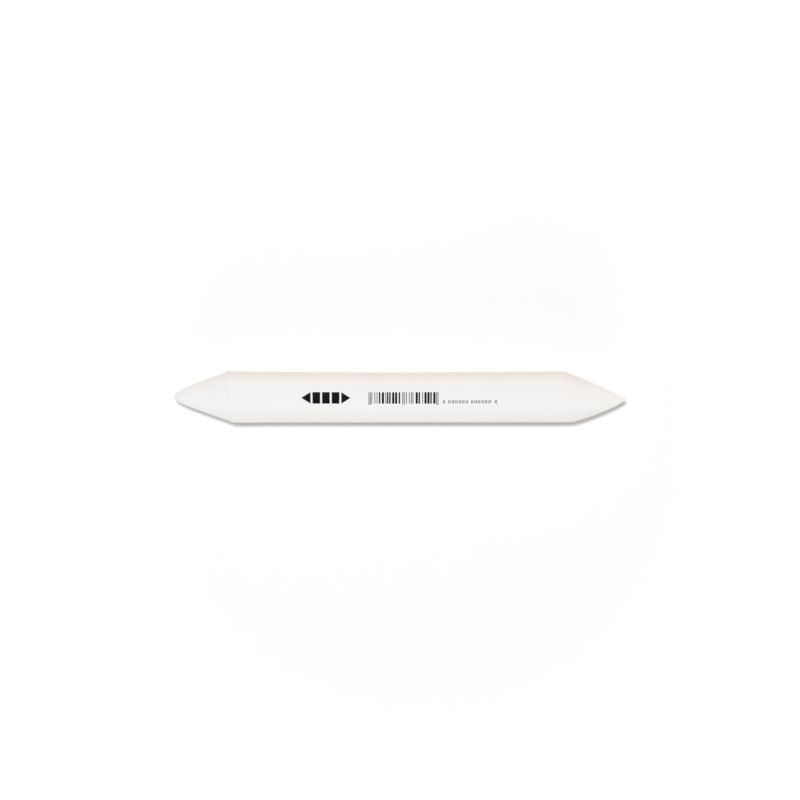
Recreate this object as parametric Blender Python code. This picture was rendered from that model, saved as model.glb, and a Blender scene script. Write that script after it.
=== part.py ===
"""A double-ended blending stump of rolled paper, lying on a flat surface.

The barrel runs along X and rests on z = 0. Paper is wound on a tight quill in one spiral, from
the axis outwards, and a printed cover goes round the roll and laps over its own first edge. Both
ends are sanded to a point, and the sanding cuts every ply to the same slope.
"""

import math

import bmesh
import bpy
from mathutils import Vector

MM = 0.001

# Overall size
LENGTH = 150.0 * MM  # tip to tip
RADIUS = 8.5 * MM  # barrel, over the cover
FACETS_PER_TURN = 32

# The paper and how tightly it is packed
QUILL_RADIUS = 1.7 * MM
PLY = 0.23 * MM
PACKING_GAP = 0.02 * MM
COVER_PLY = 0.16 * MM
FEATHERED_EDGE = 0.06 * MM  # thickness left on the first and last edge of the roll
WOUND_SHEETS = ("first_wound_sheet", "second_wound_sheet", "third_wound_sheet")
SHEET_BUTT_GAP = 0.12 * MM

# The cover's lap, low on the far side, where the hand doesn't see it
LAP_FACETS = 3
LAP_FREE_EDGE_FACET = 5  # counted from the lowest facet, towards +Y
LAP_RAMP_FACETS = 2
PASTE_THICKNESS = 0.04 * MM
PASTE_INSET = 0.4 * MM  # the paste stays back from the lap's edges

# The tips' own rings, from the tip out to the quill's edge
TIP_RINGS = 6

FACET = 2 * math.pi / FACETS_PER_TURN
PITCH = PLY + PACKING_GAP
ROLL_RADIUS = RADIUS - COVER_PLY - PACKING_GAP
LAP_LIFT = COVER_PLY + 2 * PACKING_GAP + PASTE_THICKNESS
AXIS_HEIGHT = RADIUS * math.cos(FACET / 2)  # puts the lowest facet flat on z = 0


class SandedPoint:
    """One end of the stump: a slightly oblique cone with a blunt nose.

    side is -1 or +1 along X. The shoulder is where the cone leaves the barrel. It sits further
    from the tip on one side than on the other, by shoulder_skew either way at +Y and -Y.
    straightness is 1 where the flank is straight and lower where it bulges. It goes from its
    value at the nose to its value at the shoulder, and the skew adds to it at +Y.
    """

    def __init__(self, side, cone_length, shoulder_skew, tip_shift_y, straightness, straightness_skew):
        self.side = side
        self.cone_length = cone_length
        self.shoulder_skew = shoulder_skew
        self.tip = Vector((tip_shift_y, 0.0))
        self.nose_straightness, self.flank_straightness = straightness
        self.straightness_skew = straightness_skew

    def x_at(self, across):
        """Where the sanding cuts a fibre that runs along X at this (y, z) from the axis."""
        out = across - self.tip
        if out.length < 1e-9:
            return self.side * LENGTH / 2
        slack = RADIUS**2 - self.tip.length_squared
        lean = out.dot(self.tip)
        share = (lean + math.sqrt(lean**2 + slack * out.length_squared)) / slack
        towards = (out + share * self.tip) / (share * RADIUS)
        cone_length = self.cone_length + self.shoulder_skew * towards.x
        straightness = self.nose_straightness + self.straightness_skew * towards.x
        straightness += (self.flank_straightness - self.nose_straightness) * share
        return self.side * (LENGTH / 2 - cone_length * share ** (1 / straightness))


LEFT_POINT = SandedPoint(-1, 18.8 * MM, -0.74 * MM, -0.2 * MM, (0.625, 0.83), -0.05)
RIGHT_POINT = SandedPoint(+1, 19.25 * MM, +1.55 * MM, -0.86 * MM, (0.87, 0.745), 0.075)


def corner(index, radius):
    """(y, z) of a corner of the facetted barrel, counted from just past the lowest facet."""
    angle = -math.pi / 2 + (index + 0.5) * FACET
    return Vector((math.cos(angle), math.sin(angle))) * radius


def on_facet(turn, radius_at):
    """(y, z) at this many turns round a spiral, on the straight facet between two corners."""
    place = turn * FACETS_PER_TURN
    before = math.floor(place + 1e-6)
    share = max(place - before, 0.0)
    start = corner(before, radius_at(before / FACETS_PER_TURN))
    if share < 1e-6:
        return start
    return start.lerp(corner(before + 1, radius_at((before + 1) / FACETS_PER_TURN)), share)


def clear_scene():
    for obj in list(bpy.data.objects):
        bpy.data.objects.remove(obj)


def paper_material(name, colour, roughness):
    material = bpy.data.materials.new(name)
    material.use_nodes = True
    shader = material.node_tree.nodes["Principled BSDF"]
    shader.inputs["Base Color"].default_value = (*colour, 1.0)
    shader.inputs["Roughness"].default_value = roughness
    shader.inputs["Metallic"].default_value = 0.0
    return material


def add_object(name, bm, material, parent):
    """A named object from a closed bmesh, shaded smooth with its edges kept sharp."""
    bmesh.ops.recalc_face_normals(bm, faces=bm.faces[:])
    mesh = bpy.data.meshes.new(name)
    bm.to_mesh(mesh)
    bm.free()
    mesh.shade_smooth()
    mesh.set_sharp_from_angle(angle=math.radians(30))
    mesh.materials.append(material)
    obj = bpy.data.objects.new(name, mesh)
    bpy.context.scene.collection.objects.link(obj)
    obj.parent = parent
    return obj


def whole_facets(first_turn, last_turn):
    """The turns at which a sheet has a corner: its two edges and every facet corner between."""
    first = math.floor(first_turn * FACETS_PER_TURN + 1e-6) + 1
    last = math.ceil(last_turn * FACETS_PER_TURN - 1e-6)
    return [first_turn, *(index / FACETS_PER_TURN for index in range(first, last)), last_turn]


def wound_sheet(name, turns, inner_at, outer_at, material, parent, inset=0.0):
    """A sheet wound round the axis, from one of its edges to the other.

    inner_at and outer_at give the radius of its two faces. Its ends are cut by the sanding,
    or stop short of it by the inset.
    """
    bm = bmesh.new()

    def cut_at(point, across):
        """The corner that the sanding leaves at this (y, z), or one that stops short of it."""
        return bm.verts.new((point.x_at(across) - point.side * inset, across.x, across.y))

    rows = []
    for turn in turns:
        inner = on_facet(turn, inner_at)
        outer = on_facet(turn, outer_at)
        rows.append([
            cut_at(LEFT_POINT, inner),
            cut_at(LEFT_POINT, outer),
            cut_at(RIGHT_POINT, outer),
            cut_at(RIGHT_POINT, inner),
        ])
    for row, following in zip(rows, rows[1:]):
        for side in range(4):
            after = (side + 1) % 4
            bm.faces.new((row[side], row[after], following[after], following[side]))
    bm.faces.new(rows[0])
    bm.faces.new(rows[-1])
    return add_object(name, bm, material, parent)


def make_core_quill(material, parent):
    """The tight twist of paper in the middle. It runs right through, so it carries both tips."""
    bm = bmesh.new()

    def ring(point, share):
        """Corners of one ring round a tip: share 0 is the tip and 1 the quill's edge."""
        verts = []
        for index in range(FACETS_PER_TURN):
            across = point.tip.lerp(corner(index, QUILL_RADIUS), share)
            verts.append(bm.verts.new((point.x_at(across), across.x, across.y)))
        return verts

    shares = [(step / TIP_RINGS) ** 1.5 for step in range(1, TIP_RINGS + 1)]
    rings = [ring(LEFT_POINT, share) for share in shares]
    rings += [ring(RIGHT_POINT, share) for share in reversed(shares)]
    for here, there in zip(rings, rings[1:]):
        for index in range(FACETS_PER_TURN):
            after = (index + 1) % FACETS_PER_TURN
            bm.faces.new((here[index], here[after], there[after], there[index]))
    for point, last_ring in ((LEFT_POINT, rings[0]), (RIGHT_POINT, rings[-1])):
        tip = bm.verts.new((point.side * LENGTH / 2, point.tip.x, point.tip.y))
        for index in range(FACETS_PER_TURN):
            bm.faces.new((tip, last_ring[index], last_ring[(index + 1) % FACETS_PER_TURN]))
    return add_object("core_quill", bm, material, parent)


def roll_inner(turn):
    """Inner face of the wound paper. Its first turn lies flat on the quill."""
    return max(QUILL_RADIUS + PACKING_GAP, QUILL_RADIUS + PACKING_GAP + PITCH * (turn - 1))


def roll_outer(turn):
    """Outer face of the wound paper. Its last turn is sanded flush, so the roll is round."""
    return min(ROLL_RADIUS, QUILL_RADIUS + PITCH * turn)


def make_wound_sheets(material, parent):
    """The roll, as sheets of equal length that butt edge to edge along one spiral."""
    first_turn = (FEATHERED_EDGE + PACKING_GAP) / PITCH
    last_turn = 1 + (ROLL_RADIUS - FEATHERED_EDGE - QUILL_RADIUS - PACKING_GAP) / PITCH
    starts = [first_turn]
    for sheet in range(1, len(WOUND_SHEETS)):
        share = sheet / len(WOUND_SHEETS)
        radius = math.sqrt(QUILL_RADIUS**2 + share * (ROLL_RADIUS**2 - QUILL_RADIUS**2))
        corner_index = round((radius - QUILL_RADIUS) / PITCH * FACETS_PER_TURN)
        starts.append(corner_index / FACETS_PER_TURN)
    ends = [*starts[1:], last_turn]
    for name, start, end in zip(WOUND_SHEETS, starts, ends):
        if start != first_turn:
            start += SHEET_BUTT_GAP / (2 * math.pi * roll_outer(start))
        wound_sheet(name, whole_facets(start, end), roll_inner, roll_outer, material, parent)


def cover_inner(turn):
    """Inner face of the cover: on the roll for one turn, then up and over its own first edge."""
    ramp = LAP_RAMP_FACETS / FACETS_PER_TURN
    climbed = min(max((turn - (lap_start_turn() + 1 - ramp)) / ramp, 0.0), 1.0)
    return ROLL_RADIUS + PACKING_GAP + LAP_LIFT * climbed


def cover_outer(turn):
    return cover_inner(turn) + COVER_PLY


def lap_start_turn():
    """Where the cover's first edge lies, under the lap."""
    return (LAP_FREE_EDGE_FACET - LAP_FACETS) / FACETS_PER_TURN


def make_cover_sheet(material, parent):
    first_edge = lap_start_turn()
    free_edge = first_edge + 1 + LAP_FACETS / FACETS_PER_TURN
    turns = whole_facets(first_edge, free_edge)
    wound_sheet("cover_sheet", turns, cover_inner, cover_outer, material, parent)


def make_lap_paste(material, parent):
    """The film of paste that holds the cover's free edge down."""

    def inner_at(_turn):
        return RADIUS + PACKING_GAP

    def outer_at(_turn):
        return RADIUS + PACKING_GAP + PASTE_THICKNESS

    inset_turn = PASTE_INSET / (2 * math.pi * RADIUS)
    first = lap_start_turn() + inset_turn
    last = lap_start_turn() + LAP_FACETS / FACETS_PER_TURN - inset_turn
    turns = whole_facets(first, last)
    wound_sheet("lap_paste", turns, inner_at, outer_at, material, parent, PASTE_INSET)


def main():
    clear_scene()
    barrel_axis = bpy.data.objects.new("barrel_axis", None)
    bpy.context.scene.collection.objects.link(barrel_axis)
    barrel_axis.location = (0.0, 0.0, AXIS_HEIGHT)

    soft_paper = paper_material("soft_paper", (0.86, 0.85, 0.83), 0.9)
    cover_paper = paper_material("cover_paper", (0.88, 0.87, 0.86), 0.75)
    dried_paste = paper_material("dried_paste", (0.83, 0.79, 0.68), 0.5)

    make_core_quill(soft_paper, barrel_axis)
    make_wound_sheets(soft_paper, barrel_axis)
    make_cover_sheet(cover_paper, barrel_axis)
    make_lap_paste(dried_paste, barrel_axis)


main()
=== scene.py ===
"""The looks of a double-ended paper blending stump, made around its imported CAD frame.

The stump is worked out in its own space, in millimetres: x runs along the barrel from the middle,
and y and z lie across it from the axis. placed() then takes any point of that space into the
frame, in metres, and gives the barrel its waist and its slight unevenness on the way, so every
piece follows the same surface.
"""

import math
import random

import bmesh
import bpy
import numpy as np
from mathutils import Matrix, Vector, noise


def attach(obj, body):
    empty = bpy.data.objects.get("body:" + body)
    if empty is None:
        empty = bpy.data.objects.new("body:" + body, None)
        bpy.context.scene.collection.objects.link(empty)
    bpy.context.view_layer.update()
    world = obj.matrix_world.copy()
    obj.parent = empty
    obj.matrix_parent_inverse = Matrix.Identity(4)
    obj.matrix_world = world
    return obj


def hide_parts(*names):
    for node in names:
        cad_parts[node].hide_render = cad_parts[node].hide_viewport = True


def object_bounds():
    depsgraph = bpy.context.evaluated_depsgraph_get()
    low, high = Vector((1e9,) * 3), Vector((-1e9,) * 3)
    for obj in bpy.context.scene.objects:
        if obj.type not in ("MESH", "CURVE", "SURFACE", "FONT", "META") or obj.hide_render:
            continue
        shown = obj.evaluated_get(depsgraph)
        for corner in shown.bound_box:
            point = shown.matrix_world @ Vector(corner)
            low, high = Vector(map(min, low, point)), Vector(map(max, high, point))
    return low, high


MM = 0.001

# The stump, as in the CAD model, in millimetres
RADIUS = 8.5
QUILL_RADIUS = 1.7
PITCH = 0.25  # one ply of the roll and the gap to the next
PACKING_GAP = 0.02
COVER_PLY = 0.16
FEATHERED_EDGE = 0.06  # on the roll's last edge
PASTE_THICKNESS = 0.04
PASTE_INSET = 0.4
CAD_FACETS = 32
LAP_FACETS = 3
LAP_FREE_EDGE_FACET = 5
LAP_RAMP_FACETS = 2

# Finer than the CAD model, in millimetres
PLY_GAP = 0.007  # between plies as they show on the sanded points
SHEET_BUTT_GAP = 0.015  # between two sheets of the roll, edge to edge
FIRST_EDGE = 0.02  # thickness of the roll's first edge
PLY_CROWN = 0.05  # how far the middle of a sanded ply stands out along the barrel
RAGGED = 0.05  # unevenness of a sanded edge along the barrel
WAIST_DEPTH = 0.17
WAIST_HALF_LENGTH = 56.0
WAIST_FALL = 1.5  # the waist deepens from its ends as a parabola to this power
UNEVENNESS = 0.005
LONG_WAVE = 8.3  # the unevenness is two waves along the barrel, of 2 pi times these lengths
SHORT_WAVE = 5.1
CALM_LENGTH = 4.0  # it fades in over this length from each end of the waist
COVER_SLACK = 0.03  # how far the cover stands off between the two shoulders
FLARE_HEIGHT = 0.08  # the barrel is a touch fuller behind the left shoulder
FLARE_MIDDLE = -51.5
FLARE_HALF_LENGTH = 4.0
LUMP_HEIGHT = 0.32  # where the sanding has crumpled the cover at the left shoulder
LUMP_FROM_EDGE = 0.35
LUMP_HALF_LENGTH = 0.9
LUMP_HALF_ANGLE = math.radians(15)
LUMP_ANGLE = math.radians(4)  # from +Y towards +Z

# Smooth noise
OFF_GRID = 0.37  # stands in for a missing coordinate, away from the noise's own grid
SEED_STEP = 17.3  # how far apart two seeds read the noise

# The print, in millimetres. y is measured across the barrel as seen from above
PRINT_TOP = 1.70
PRINT_BOTTOM = -2.12
INK_GAIN = 0.005  # how far a printed bar spreads past each of its edges
INK_LIFT = 0.003
INK_THICKNESS = 0.008

# The picture, in millimetres at the height of the axis
PICTURE_WIDTH = 264.9
AIM_BELOW_AXIS = 1.07  # the picture's middle lies this far from the axis towards -Y
PICTURE_TURN = math.radians(-0.044)  # the stump lies a hair off level in it

# How finely the meshes are cut
ROLL_SEGMENTS = 112  # per turn
ROLL_LENGTH_STEPS = 12
COVER_SEGMENTS = 192
COVER_LENGTH_STEPS = 64
PASTE_LENGTH_STEPS = 24
QUILL_SEGMENTS = 96
TIP_RINGS = 60
SHARP_ANGLE = math.radians(35)

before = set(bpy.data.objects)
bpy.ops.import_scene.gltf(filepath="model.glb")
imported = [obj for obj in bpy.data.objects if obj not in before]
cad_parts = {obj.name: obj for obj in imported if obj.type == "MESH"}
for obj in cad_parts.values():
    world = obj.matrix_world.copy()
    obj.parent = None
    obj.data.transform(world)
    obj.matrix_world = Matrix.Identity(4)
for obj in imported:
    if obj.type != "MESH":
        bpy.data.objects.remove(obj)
cad_low, cad_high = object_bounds()

HALF_LENGTH = (cad_high.x - cad_low.x) / 2 / MM
AXIS = Vector((0.0, (cad_low.y + cad_high.y) / 2, (cad_low.z + cad_high.z) / 2))
ACROSS = (cad_high.z - cad_low.z) / 2 / RADIUS  # metres to one millimetre of stump space, y and z
ROLL_RADIUS = RADIUS - COVER_PLY - PACKING_GAP
LAP_LIFT = COVER_PLY + 2 * PACKING_GAP + PASTE_THICKNESS
LAP_START = (LAP_FREE_EDGE_FACET - LAP_FACETS) / CAD_FACETS
LAP_TURNS = LAP_FACETS / CAD_FACETS


# ---------------------------------------------------------------- the stump's space


class SandedPoint:
    """One end of the stump, a slightly oblique cone with a blunt nose, as in the CAD model."""

    def __init__(self, side, cone_length, shoulder_skew, tip_y, straightness, straightness_skew):
        self.side = side
        self.cone_length = cone_length
        self.shoulder_skew = shoulder_skew
        self.tip_y = tip_y
        self.nose_straightness, self.flank_straightness = straightness
        self.straightness_skew = straightness_skew

    def x_at(self, y, z):
        """Where the sanding cuts a fibre that runs along the barrel at (y, z)."""
        out_y = y - self.tip_y
        slack = RADIUS**2 - self.tip_y**2
        lean = out_y * self.tip_y
        share = (lean + np.sqrt(lean**2 + slack * (out_y**2 + z**2))) / slack
        towards = (out_y + share * self.tip_y) / np.maximum(share * RADIUS, 1e-9)
        cone_length = self.cone_length + self.shoulder_skew * towards
        straightness = self.nose_straightness + self.straightness_skew * towards
        straightness = straightness + (self.flank_straightness - self.nose_straightness) * share
        return self.side * (HALF_LENGTH - cone_length * share ** (1 / straightness))


LEFT_POINT = SandedPoint(-1, 18.8, -0.74, -0.2, (0.625, 0.83), -0.05)
RIGHT_POINT = SandedPoint(+1, 19.25, +1.55, -0.86, (0.87, 0.745), 0.075)


def turn_angle(turn):
    """Angle from +Y towards +Z after this many turns of the roll."""
    return 2 * np.pi * turn - np.pi / 2 + np.pi / CAD_FACETS


def placed(x, y, z):
    """Points of the stump's space as an array of points in the frame, in metres."""
    x, y, z = np.broadcast_arrays(x, y, z)
    angle = np.arctan2(z, y)
    waist = np.clip(1 - (x / WAIST_HALF_LENGTH) ** 2, 0, None) ** WAIST_FALL
    long_wave = np.sin(x / LONG_WAVE + 1.3) * np.cos(angle + 0.4)
    short_wave = np.sin(x / SHORT_WAVE + 0.5) * np.cos(2 * angle + 2.1)
    waves = long_wave + short_wave
    calm_ends = np.clip((WAIST_HALF_LENGTH - np.abs(x)) / CALM_LENGTH, 0, 1)
    flare = FLARE_HEIGHT * np.exp(-(((x - FLARE_MIDDLE) / FLARE_HALF_LENGTH) ** 2))
    slack = COVER_SLACK * calm_ends
    swell = 1 + (flare + slack - WAIST_DEPTH * waist + UNEVENNESS * (waves - 1) * calm_ends) / RADIUS
    across_y = y * swell - WAIST_DEPTH * waist - slack
    points = np.stack([x * MM, across_y * ACROSS, z * swell * ACROSS], axis=-1)
    return points + np.array(AXIS)


def smooth_noise(seed, *coordinates):
    """Smooth noise from -1 to 1 at each point, the same on every run."""
    arrays = np.broadcast_arrays(*coordinates)
    flat = [np.ravel(array) for array in arrays]
    while len(flat) < 3:
        flat.append(np.full_like(flat[0], OFF_GRID))
    values = [noise.noise(Vector((a, b, c + SEED_STEP * seed))) for a, b, c in zip(*flat)]
    return np.array(values).reshape(arrays[0].shape)


# ---------------------------------------------------------------- mesh helpers


def add_piece(name, points, faces, material):
    """A closed mesh piece that rides on the stump's one body."""
    mesh = bpy.data.meshes.new(name)
    mesh.from_pydata([tuple(p) for p in points], [], faces)
    bm = bmesh.new()
    bm.from_mesh(mesh)
    bmesh.ops.recalc_face_normals(bm, faces=bm.faces[:])
    bm.to_mesh(mesh)
    bm.free()
    mesh.shade_smooth()
    mesh.set_sharp_from_angle(angle=SHARP_ANGLE)
    mesh.materials.append(material)
    piece = bpy.data.objects.new(name, mesh)
    bpy.context.scene.collection.objects.link(piece)
    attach(piece, "root")
    return piece


def wound_piece(name, turns, inner_at, outer_at, material, length_steps, lift_at=None, inset=0.0, seed=0):
    """A sheet wound round the axis, with its ends sanded to the stump's points.

    Each column of points is one loop round the sheet's section: along its outer face from the left
    end to the right, over the right edge's crown, back along the inner face, and over the left
    edge's crown.
    """
    angle = turn_angle(turns)
    shares = (1 - np.cos(np.pi * np.arange(length_steps + 1) / length_steps)) / 2
    ragged = RAGGED * smooth_noise(seed, turns * 9.0, np.sin(angle) * 3, np.cos(angle) * 3)

    def edge(point, radius, crown=0.0):
        x = point.x_at(radius * np.cos(angle), radius * np.sin(angle))
        return x + point.side * (crown + ragged * (inset == 0) - inset)

    def face(radius):
        left, right = edge(LEFT_POINT, radius), edge(RIGHT_POINT, radius)
        x = left[:, None] + (right - left)[:, None] * shares
        return x, np.broadcast_to(radius[:, None], x.shape)

    inner, outer = inner_at(turns), outer_at(turns)
    middle = (inner + outer) / 2
    outer_x, outer_radius = face(outer)
    inner_x, inner_radius = face(inner)
    right_x, left_x = (edge(point, middle, PLY_CROWN)[:, None] for point in (RIGHT_POINT, LEFT_POINT))
    x = np.hstack([outer_x, right_x, inner_x[:, ::-1], left_x])
    radius = np.hstack([outer_radius, middle[:, None], inner_radius[:, ::-1], middle[:, None]])
    wide_angle = np.broadcast_to(angle[:, None], x.shape)
    if lift_at is not None:
        radius = radius + lift_at(x, wide_angle)
    points = placed(x, radius * np.cos(wide_angle), radius * np.sin(wide_angle)).reshape(-1, 3)

    columns, loop = x.shape
    faces = []
    for column in range(columns - 1):
        here, there = column * loop, (column + 1) * loop
        for step in range(loop):
            after = (step + 1) % loop
            faces.append((here + step, here + after, there + after, there + step))
    for start in (0, (columns - 1) * loop):
        for step in range(length_steps):
            back = loop - 2 - step
            faces.append((start + step, start + step + 1, start + back - 1, start + back))
        faces.append((start + length_steps, start + length_steps + 1, start + length_steps + 2))
        faces.append((start + loop - 2, start + loop - 1, start))
    return add_piece(name, points, faces, material)


def turns_between(first, last, per_turn):
    return np.linspace(first, last, math.ceil((last - first) * per_turn) + 1)


# ---------------------------------------------------------------- materials


class Nodes:
    """A material's node tree, built from one Principled BSDF outwards."""

    def __init__(self, name):
        self.material = bpy.data.materials.new(name)
        self.material.use_nodes = True
        self.tree = self.material.node_tree
        self.shader = self.tree.nodes["Principled BSDF"]
        self.place = self.tree.nodes.new("ShaderNodeTexCoord").outputs["Object"]

    def link(self, source, target):
        self.tree.links.new(source, target)

    def stretched(self, scale):
        node = self.tree.nodes.new("ShaderNodeMapping")
        node.inputs["Scale"].default_value = scale
        self.link(self.place, node.inputs["Vector"])
        return node.outputs["Vector"]

    def noise(self, per_metre, detail=3.0, roughness=0.55, distortion=0.0, vector=None):
        node = self.tree.nodes.new("ShaderNodeTexNoise")
        node.inputs["Scale"].default_value = per_metre
        node.inputs["Detail"].default_value = detail
        node.inputs["Roughness"].default_value = roughness
        node.inputs["Distortion"].default_value = distortion
        self.link(vector or self.place, node.inputs["Vector"])
        return node.outputs["Fac"]

    def ramp(self, source, low, high):
        """A colour ramp: low and high are (position, colour)."""
        node = self.tree.nodes.new("ShaderNodeValToRGB")
        for stop, (position, colour) in zip(node.color_ramp.elements, (low, high)):
            stop.position = position
            stop.color = (*colour, 1.0)
        self.link(source, node.inputs["Fac"])
        return node.outputs["Color"]

    def mix(self, share, first, second, blend="MIX"):
        node = self.tree.nodes.new("ShaderNodeMix")
        node.data_type = "RGBA"
        node.blend_type = blend
        for source, socket in ((share, node.inputs[0]), (first, node.inputs[6]), (second, node.inputs[7])):
            if isinstance(source, bpy.types.NodeSocket):
                self.link(source, socket)
            elif isinstance(source, tuple):
                socket.default_value = (*source, 1.0)
            else:
                socket.default_value = source
        return node.outputs[2]

    def spread(self, source, from_low, from_high, to_low, to_high):
        node = self.tree.nodes.new("ShaderNodeMapRange")
        values = (from_low, from_high, to_low, to_high)
        for name, value in zip(("From Min", "From Max", "To Min", "To Max"), values):
            node.inputs[name].default_value = value
        self.link(source, node.inputs["Value"])
        return node.outputs["Result"]

    def bump(self, height, distance, strength=1.0, under=None):
        node = self.tree.nodes.new("ShaderNodeBump")
        node.inputs["Distance"].default_value = distance
        node.inputs["Strength"].default_value = strength
        self.link(height, node.inputs["Height"])
        if under is not None:
            self.link(under, node.inputs["Normal"])
        return node.outputs["Normal"]

    def axis(self, name):
        node = self.tree.nodes.new("ShaderNodeSeparateXYZ")
        self.link(self.place, node.inputs["Vector"])
        return node.outputs[name]

    def facing(self, name):
        """How far the surface faces along one of the object's axes, from -1 to 1."""
        normal = self.tree.nodes.new("ShaderNodeTexCoord").outputs["Normal"]
        node = self.tree.nodes.new("ShaderNodeSeparateXYZ")
        self.link(normal, node.inputs["Vector"])
        return node.outputs[name]

    def product(self, first, second):
        node = self.tree.nodes.new("ShaderNodeMath")
        node.operation = "MULTIPLY"
        self.link(first, node.inputs[0])
        self.link(second, node.inputs[1])
        return node.outputs["Value"]

    def distance(self):
        """Distance from the object's origin, in metres."""
        node = self.tree.nodes.new("ShaderNodeVectorMath")
        node.operation = "LENGTH"
        self.link(self.place, node.inputs[0])
        return node.outputs["Value"]

    def set(self, **values):
        """Sets the shader's sockets: base_color=..., roughness=... A socket's value may be a link."""
        for key, value in values.items():
            socket = self.shader.inputs[key.replace("_", " ").title().replace("Ior", "IOR")]
            if isinstance(value, bpy.types.NodeSocket):
                self.link(value, socket)
            elif isinstance(value, tuple):
                socket.default_value = (*value, 1.0)
            else:
                socket.default_value = value
        return self.material


def cover_paper():
    """Smooth white printing paper: close fibres along the barrel, faint clouding, a soft warm sheen. The
    flank facing +Y has painted warm light in its colour.
    """
    nodes = Nodes("cover_paper_look")
    fibres = nodes.noise(2600, detail=4, vector=nodes.stretched((0.35, 1.0, 1.0)))
    clouds = nodes.noise(160, detail=3)
    specks = nodes.noise(5200, detail=1)
    base = nodes.ramp(clouds, (0.3, (0.846, 0.841, 0.836)), (0.7, (0.86, 0.856, 0.852)))
    base = nodes.mix(nodes.spread(fibres, 0.4, 0.7, 0.0, 0.25), base, (0.825, 0.818, 0.81))
    base = nodes.mix(nodes.spread(specks, 0.74, 0.8, 0.0, 0.3), base, (0.72, 0.69, 0.64))
    # painted light: a warm tint on the flank that faces +Y, standing in for warm light falling on that
    # side
    painted_warm_light_flank = nodes.spread(nodes.facing("Y"), 0.62, 0.86, 0.0, 1.0)
    base = nodes.mix(painted_warm_light_flank, base, nodes.mix(1.0, base, (0.98, 0.94, 0.9), blend="MULTIPLY"))
    tooth = nodes.bump(fibres, 0.00002, 0.6)
    dents = nodes.bump(nodes.noise(240, detail=2), 0.00008, 0.2, under=tooth)
    rough = nodes.spread(fibres, 0.3, 0.7, 0.66, 0.8)
    return nodes.set(
        base_color=base, roughness=rough, normal=dents, specular_ior_level=0.25,
        sheen_weight=0.35, sheen_roughness=0.45, sheen_tint=(1.0, 0.88, 0.74),
    )


def soft_paper():
    """Soft unsized paper, sanded to a felt-like nap: loose fibres, fine scratches and a little fuzz.
    Painted light makes it paler and yellower towards the right tip and warmer on the flank facing +Y.
    """
    nodes = Nodes("soft_paper_look")
    nap = nodes.noise(3800, detail=5, roughness=0.65, distortion=0.6)
    tufts = nodes.noise(900, detail=3)
    clouds = nodes.noise(220, detail=2)
    base = nodes.ramp(clouds, (0.3, (0.858, 0.854, 0.85)), (0.7, (0.872, 0.869, 0.866)))
    # painted light: the paper turns paler and yellower towards the right tip, standing in for the light on
    # that point
    painted_lit_colour = nodes.ramp(clouds, (0.3, (0.889, 0.893, 0.862)), (0.7, (0.903, 0.907, 0.878)))
    towards_right_tip = nodes.spread(nodes.axis("X"), 0.0555, 0.072, 0.0, 1.0)
    base = nodes.mix(towards_right_tip, base, painted_lit_colour)
    # painted light: a warm tint on the flank that faces +Y, fading out before the right tip, standing in
    # for warm light falling on that side
    painted_warm_light_flank = nodes.spread(nodes.facing("Y"), 0.4, 0.85, 0.0, 1.0)
    before_right_tip = nodes.spread(nodes.axis("X"), 0.066, 0.058, 0.0, 1.0)
    painted_warm_light_tint = nodes.mix(1.0, base, (0.978, 0.957, 0.94), blend="MULTIPLY")
    base = nodes.mix(nodes.product(painted_warm_light_flank, before_right_tip), base, painted_warm_light_tint)
    base = nodes.mix(nodes.spread(nap, 0.45, 0.75, 0.0, 0.3), base, (0.8, 0.79, 0.775))
    fuzz = nodes.bump(nap, 0.00004, 0.7)
    lumps = nodes.bump(tufts, 0.00006, 0.4, under=fuzz)
    return nodes.set(
        base_color=base, roughness=nodes.spread(nap, 0.3, 0.7, 0.86, 0.98), normal=lumps,
        specular_ior_level=0.2, sheen_weight=0.15, sheen_roughness=0.6, sheen_tint=(1.0, 1.0, 1.0),
    )


def dried_paste():
    """Dried starch paste: a thin yellowish film, smoother than the paper it soaks into."""
    nodes = Nodes("dried_paste_look")
    streaks = nodes.noise(1400, detail=3, vector=nodes.stretched((0.15, 1.0, 1.0)))
    base = nodes.ramp(streaks, (0.3, (0.8, 0.755, 0.63)), (0.7, (0.85, 0.82, 0.73)))
    ripple = nodes.bump(streaks, 0.00003, 0.5)
    rough = nodes.spread(streaks, 0.3, 0.7, 0.35, 0.55)
    return nodes.set(base_color=base, roughness=rough, normal=ripple)


def printing_ink():
    """Flexographic black: dense, a touch uneven where the paper's tooth shows through."""
    nodes = Nodes("printing_ink_look")
    tooth = nodes.noise(5200, detail=3)
    base = nodes.ramp(tooth, (0.6, (0.004, 0.004, 0.005)), (0.85, (0.05, 0.05, 0.055)))
    rough = nodes.spread(tooth, 0.3, 0.7, 0.5, 0.7)
    coarse = nodes.bump(tooth, 0.000008, 0.5)
    return nodes.set(base_color=base, roughness=rough, normal=coarse, specular_ior_level=0.06)


# ---------------------------------------------------------------- the roll


def roll_inner(turn):
    start = QUILL_RADIUS + PLY_GAP
    return np.maximum(start, start + PITCH * (turn - 1))


def roll_outer(turn):
    return np.minimum(ROLL_RADIUS, QUILL_RADIUS + PITCH * turn)


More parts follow.
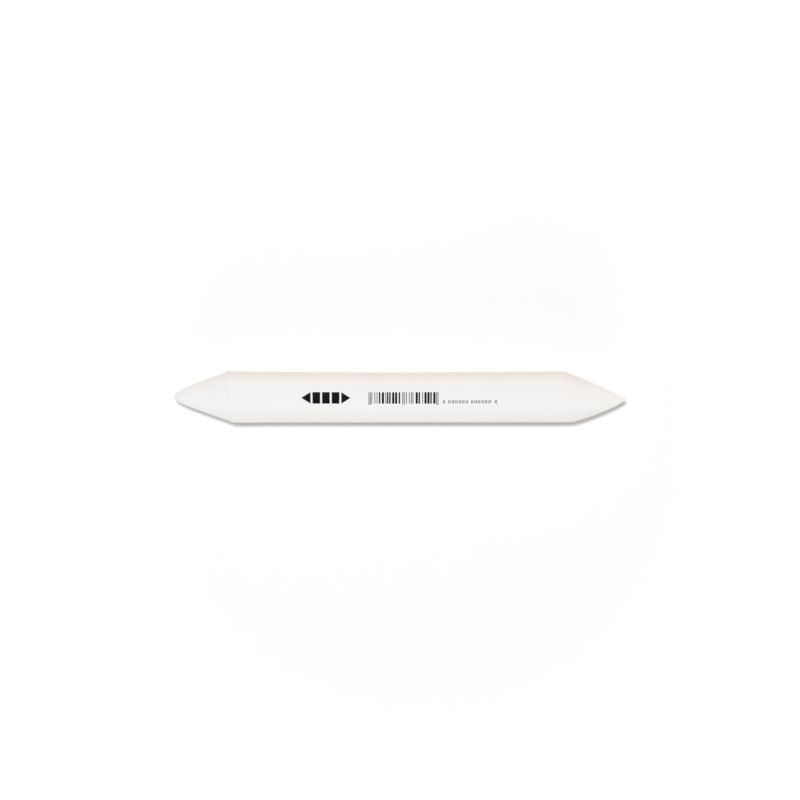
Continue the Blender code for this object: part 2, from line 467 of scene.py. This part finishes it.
def make_wound_sheets(material):
    """The three sheets of the roll, which butt edge to edge along one spiral."""
    first = (FIRST_EDGE + PLY_GAP) / PITCH
    last = 1 + (ROLL_RADIUS - FEATHERED_EDGE - QUILL_RADIUS - PACKING_GAP) / PITCH
    names = ("first_wound_sheet", "second_wound_sheet", "third_wound_sheet")
    starts = [first]
    for sheet in (1, 2):
        radius = math.sqrt(QUILL_RADIUS**2 + sheet / 3 * (ROLL_RADIUS**2 - QUILL_RADIUS**2))
        starts.append(round((radius - QUILL_RADIUS) / PITCH * CAD_FACETS) / CAD_FACETS)
    for name, start, end in zip(names, starts, [*starts[1:], last]):
        if start != first:
            start += SHEET_BUTT_GAP / (2 * math.pi * roll_outer(start))
        turns = turns_between(start, end, ROLL_SEGMENTS)
        sheet = wound_piece(
            name + "_sanded", turns, roll_inner, roll_outer, material, ROLL_LENGTH_STEPS, seed=1,
        )
        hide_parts(name)


def make_quill(material):
    """The tight twist in the middle. Its own spiral shows as a fine groove on the two noses."""
    steps = QUILL_SEGMENTS
    groove_from = 0.6  # of a cosine once per ply, so that the groove is narrower than the ply
    body_end, body_rings = 50.0, 11
    angle = np.linspace(0, 2 * np.pi, steps, endpoint=False)
    shares = (np.arange(1, TIP_RINGS + 1) / TIP_RINGS) ** 1.2

    def ring(point, share):
        y = point.tip_y + share * (QUILL_RADIUS * np.cos(angle) - point.tip_y)
        z = share * QUILL_RADIUS * np.sin(angle)
        spiral = share * QUILL_RADIUS / PITCH - angle / (2 * np.pi)
        groove = np.clip((np.cos(2 * np.pi * spiral) - groove_from) / (1 - groove_from), 0.0, 1.0)
        fuzz = RAGGED * 0.5 * smooth_noise(2, 6 * y, 6 * z)
        inward = np.minimum(share * 4, 1) * (PLY_CROWN * groove + fuzz)
        return placed(point.x_at(y, z) - point.side * inward, y, z)

    middle = [
        placed(x, QUILL_RADIUS * np.cos(angle), QUILL_RADIUS * np.sin(angle))
        for x in np.linspace(-body_end, body_end, body_rings)
    ]
    rings = [ring(LEFT_POINT, share) for share in shares]
    rings += middle
    rings += [ring(RIGHT_POINT, share) for share in reversed(shares)]
    points = list(np.concatenate(rings))
    faces = []
    for here in range(len(rings) - 1):
        for step in range(steps):
            after = (step + 1) % steps
            a, b = here * steps, (here + 1) * steps
            faces.append((a + step, a + after, b + after, b + step))
    for point, row in ((LEFT_POINT, 0), (RIGHT_POINT, len(rings) - 1)):
        points.append(placed(point.side * HALF_LENGTH, point.tip_y, 0.0))
        tip = len(points) - 1
        for step in range(steps):
            faces.append((tip, row * steps + step, row * steps + (step + 1) % steps))
    quill = add_piece("core_quill_sanded", points, faces, material)
    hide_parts("core_quill")


# ---------------------------------------------------------------- the cover and its lap


def cover_inner(turn):
    """On the roll for one turn, then up a ramp and over the cover's own first edge."""
    ramp = LAP_RAMP_FACETS / CAD_FACETS
    climbed = np.clip((turn - (LAP_START + 1 - ramp)) / ramp, 0, 1)
    climbed = climbed * climbed * (3 - 2 * climbed)
    return ROLL_RADIUS + PACKING_GAP + LAP_LIFT * climbed


def cover_outer(turn):
    return cover_inner(turn) + COVER_PLY


def lump_at(x, angle):
    """How far the cover stands up where the sanding has crumpled it, close to its left edge."""
    edge = LEFT_POINT.x_at(RADIUS * np.cos(angle), RADIUS * np.sin(angle))
    along = (x - edge - LUMP_FROM_EDGE) / LUMP_HALF_LENGTH
    turned = np.arctan2(np.sin(angle - LUMP_ANGLE), np.cos(angle - LUMP_ANGLE)) / LUMP_HALF_ANGLE
    return LUMP_HEIGHT * np.exp(-(along**2)) * np.exp(-(turned**2))


def make_cover(paper, paste):
    turns = turns_between(LAP_START, LAP_START + 1 + LAP_TURNS, COVER_SEGMENTS)
    cover = wound_piece(
        "cover_sheet_printed", turns, cover_inner, cover_outer, paper, COVER_LENGTH_STEPS, lump_at, seed=3,
    )
    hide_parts("cover_sheet")

    inset_turn = PASTE_INSET / (2 * math.pi * RADIUS)
    turns = turns_between(LAP_START + inset_turn, LAP_START + LAP_TURNS - inset_turn, COVER_SEGMENTS)
    film = wound_piece(
        "lap_paste_film", turns,
        lambda turn: np.full_like(turn, RADIUS + PACKING_GAP),
        lambda turn: np.full_like(turn, RADIUS + PACKING_GAP + PASTE_THICKNESS),
        paste, PASTE_LENGTH_STEPS, inset=PASTE_INSET,
    )
    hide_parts("lap_paste")


# ---------------------------------------------------------------- the print


class Print:
    """Flat marks in ink that lie on the barrel's upper side. Each mark is its own thin solid."""

    ROWS = 13

    def __init__(self, name):
        self.name = name
        self.points = []
        self.faces = []

    def mark(self, low_y, high_y, left_at, right_at):
        """One mark between two heights. left_at and right_at give its ends at each height."""
        y = np.linspace(low_y, high_y, self.ROWS)
        ends = (np.array([left_at(v) for v in y]), np.array([right_at(v) for v in y]))
        start = len(self.points)
        for lift in (INK_LIFT, INK_LIFT + INK_THICKNESS):
            outward = 1 + lift / RADIUS
            for x in ends:
                self.points.extend(placed(x, y * outward, np.sqrt(RADIUS**2 - y**2) * outward))
        under_left, under_right, over_left, over_right = (start + k * self.ROWS for k in range(4))
        corners = (under_left, under_right, over_right, over_left)
        for row in range(self.ROWS - 1):
            for a, b in zip(corners, (*corners[1:], corners[0])):
                self.faces.append((a + row, b + row, b + row + 1, a + row + 1))
        for row in (0, self.ROWS - 1):
            self.faces.append(tuple(corner + row for corner in corners))

    def block(self, left, right, low_y=PRINT_BOTTOM, high_y=PRINT_TOP):
        self.mark(low_y, high_y, lambda _y: left, lambda _y: right)

    def done(self, material):
        add_piece(self.name, self.points, self.faces, material)


def make_pictogram(ink):
    """A plain sign for a stump: three blocks between two points."""
    left, right = -32.35, -16.25
    point, gap = 3.0, 0.64
    middle, half = (PRINT_TOP + PRINT_BOTTOM) / 2, (PRINT_TOP - PRINT_BOTTOM) / 2
    sign = Print("printed_sign")

    def drawn_in(y):
        """How far the slanting edges of the two points are drawn in at this height."""
        return point * abs(y - middle) / half

    sign.mark(PRINT_BOTTOM, PRINT_TOP, lambda y: left + drawn_in(y), lambda _y: left + point)
    sign.mark(PRINT_BOTTOM, PRINT_TOP, lambda _y: right - point, lambda y: right - drawn_in(y))
    blocks = 3
    width = (right - left - 2 * point - (blocks + 1) * gap) / blocks
    for block in range(blocks):
        start = left + point + gap + block * (width + gap)
        sign.block(start, start + width)
    sign.done(ink)


def make_bars(ink):
    """A pattern of upright bars. The widths are random, so it encodes nothing."""
    left, modules, module = -10.3, 95, 0.241
    guard, guard_drop = 3, 0.35  # a guard is a bar, a gap and a bar, of one module each
    clear = 1  # module beside an end guard, and two of them beside the middle one
    middle = modules // 2 - 1
    pick = random.Random(1)
    widths = (1, 2, 3)
    bars = Print("printed_bars")

    def bar(first, count, low_y=PRINT_BOTTOM):
        """One bar, from its first module over this many modules."""
        start = left + first * module
        bars.block(start - INK_GAIN, start + count * module + INK_GAIN, low_y)

    for first in (0, middle, modules - guard):
        bar(first, 1, PRINT_BOTTOM - guard_drop)
        bar(first + guard - 1, 1, PRINT_BOTTOM - guard_drop)
    left_half = (guard + clear, middle - 2 * clear)
    right_half = (middle + guard + 2 * clear, modules - guard - clear)
    for start, end in (left_half, right_half):
        at = start
        while at < end:
            width = min(pick.choice(widths), end - at)
            bar(at, width)
            at += width + pick.choice(widths)
    bars.done(ink)


def make_ticks(ink):
    """A row of plain ticks, two by two, in four groups."""
    ticks = Print("printed_ticks")
    width, apart, bottom, height = 0.22, 0.45, -2.06, 1.05
    step = 1.14  # from one pair to the next
    groups = ((14.4, 1), (16.2, 6), (23.7, 6), (31.5, 1))  # where each starts, and its pairs
    for start, pairs in groups:
        for pair in range(pairs):
            for side in (-1, 1):
                middle = start + pair * step + side * apart / 2
                ticks.block(middle - width / 2, middle + width / 2, bottom, bottom + height)
    ticks.done(ink)


# ---------------------------------------------------------------- stage, light and camera


def make_floor():
    """A plain white table. It gets paler, then glows a little, where the lamp no longer reaches."""
    floor_radius = 20.0  # metres, as are the distances from its middle below
    pale_from, pale_to = 0.09, 0.3
    glow_from, glow_to = 0.5, 2.0
    bm = bmesh.new()
    bmesh.ops.create_circle(bm, cap_ends=True, segments=96, radius=floor_radius)
    mesh = bpy.data.meshes.new("floor")
    bm.to_mesh(mesh)
    bm.free()
    floor = bpy.data.objects.new("floor", mesh)
    bpy.context.scene.collection.objects.link(floor)
    nodes = Nodes("floor_look")
    further_out = nodes.spread(nodes.distance(), pale_from, pale_to, 0.0, 1.0)
    base = nodes.mix(further_out, (0.8, 0.79, 0.78), (0.95, 0.94, 0.93))
    glow = nodes.spread(nodes.distance(), glow_from, glow_to, 0.0, 0.35)
    nodes.set(base_color=base, roughness=0.8, specular_ior_level=0.1)
    nodes.set(emission_color=(1.0, 1.0, 1.0), emission_strength=glow)
    mesh.materials.append(nodes.material)
    return floor


def make_lights(floor):
    """A soft key from nearly overhead, even light all round, and two low fills along the barrel."""
    scene = bpy.context.scene
    world = bpy.data.worlds.new("white_room")
    world.use_nodes = True
    background = world.node_tree.nodes["Background"]
    background.inputs["Color"].default_value = (0.898, 0.945, 1.0, 1.0)
    background.inputs["Strength"].default_value = 0.48
    scene.world = world

    def add_light(data, colour, towards):
        data.color = colour
        light = bpy.data.objects.new(data.name, data)
        light.rotation_euler = Vector(towards).to_track_quat("Z", "Y").to_euler()
        scene.collection.objects.link(light)
        return light

    def soft_sun(name, strength, towards, spread_degrees, colour):
        """Light from the direction of this vector. A strength of 1 lights white paper fully."""
        data = bpy.data.lights.new(name, "SUN")
        data.energy = strength * math.pi
        data.angle = math.radians(spread_degrees)
        return add_light(data, colour, towards)

    def soft_lamp(name, strength, place, spread_degrees, colour):
        """A round soft box at this place, turned to the stump, as strong there as a soft sun."""
        distance = Vector(place).length
        data = bpy.data.lights.new(name, "AREA")
        data.shape = "DISK"
        data.size = 2 * distance * math.tan(math.radians(spread_degrees / 2))
        data.energy = strength * (math.pi * distance) ** 2
        light = add_light(data, colour, place)
        light.location = place
        light.visible_camera = False
        return light

    overhead = (-0.085, 0.172, 1.2)
    soft_lamp("key", 0.538, overhead, 9, (0.984, 0.981, 1.0))
    soft_sun("front_fill", 0.287, (0.0, -1.0, 0.176), 40, (1.0, 0.83, 0.67))
    soft_sun("back_fill", 0.131, (0.5, 0.866, 0.364), 50, (1.0, 0.513, 0.0))
    floor_key = soft_sun("floor_key", 0.25, overhead, 9, (0.841, 0.928, 1.0))
    lit = bpy.data.collections.new("lit_by_floor_key")
    lit.objects.link(floor)
    floor_key.light_linking.receiver_collection = lit


def make_camera():
    """Straight down on the print, with the barrel across the picture."""
    scene = bpy.context.scene
    data = bpy.data.cameras.new("camera")
    data.lens = 120.0
    data.sensor_width = 36.0
    distance = PICTURE_WIDTH * MM * data.lens / data.sensor_width
    camera = bpy.data.objects.new("camera", data)
    camera.location = AXIS + Vector((0.0, -AIM_BELOW_AXIS * MM, distance))
    camera.rotation_euler = (0.0, 0.0, PICTURE_TURN)
    scene.collection.objects.link(camera)
    scene.camera = camera
    scene.view_settings.view_transform = "Standard"


def main():
    paper, soft, paste, ink = cover_paper(), soft_paper(), dried_paste(), printing_ink()
    make_quill(soft)
    make_wound_sheets(soft)
    make_cover(paper, paste)
    make_pictogram(ink)
    make_bars(ink)
    make_ticks(ink)
    floor = make_floor()
    make_lights(floor)
    make_camera()


main()
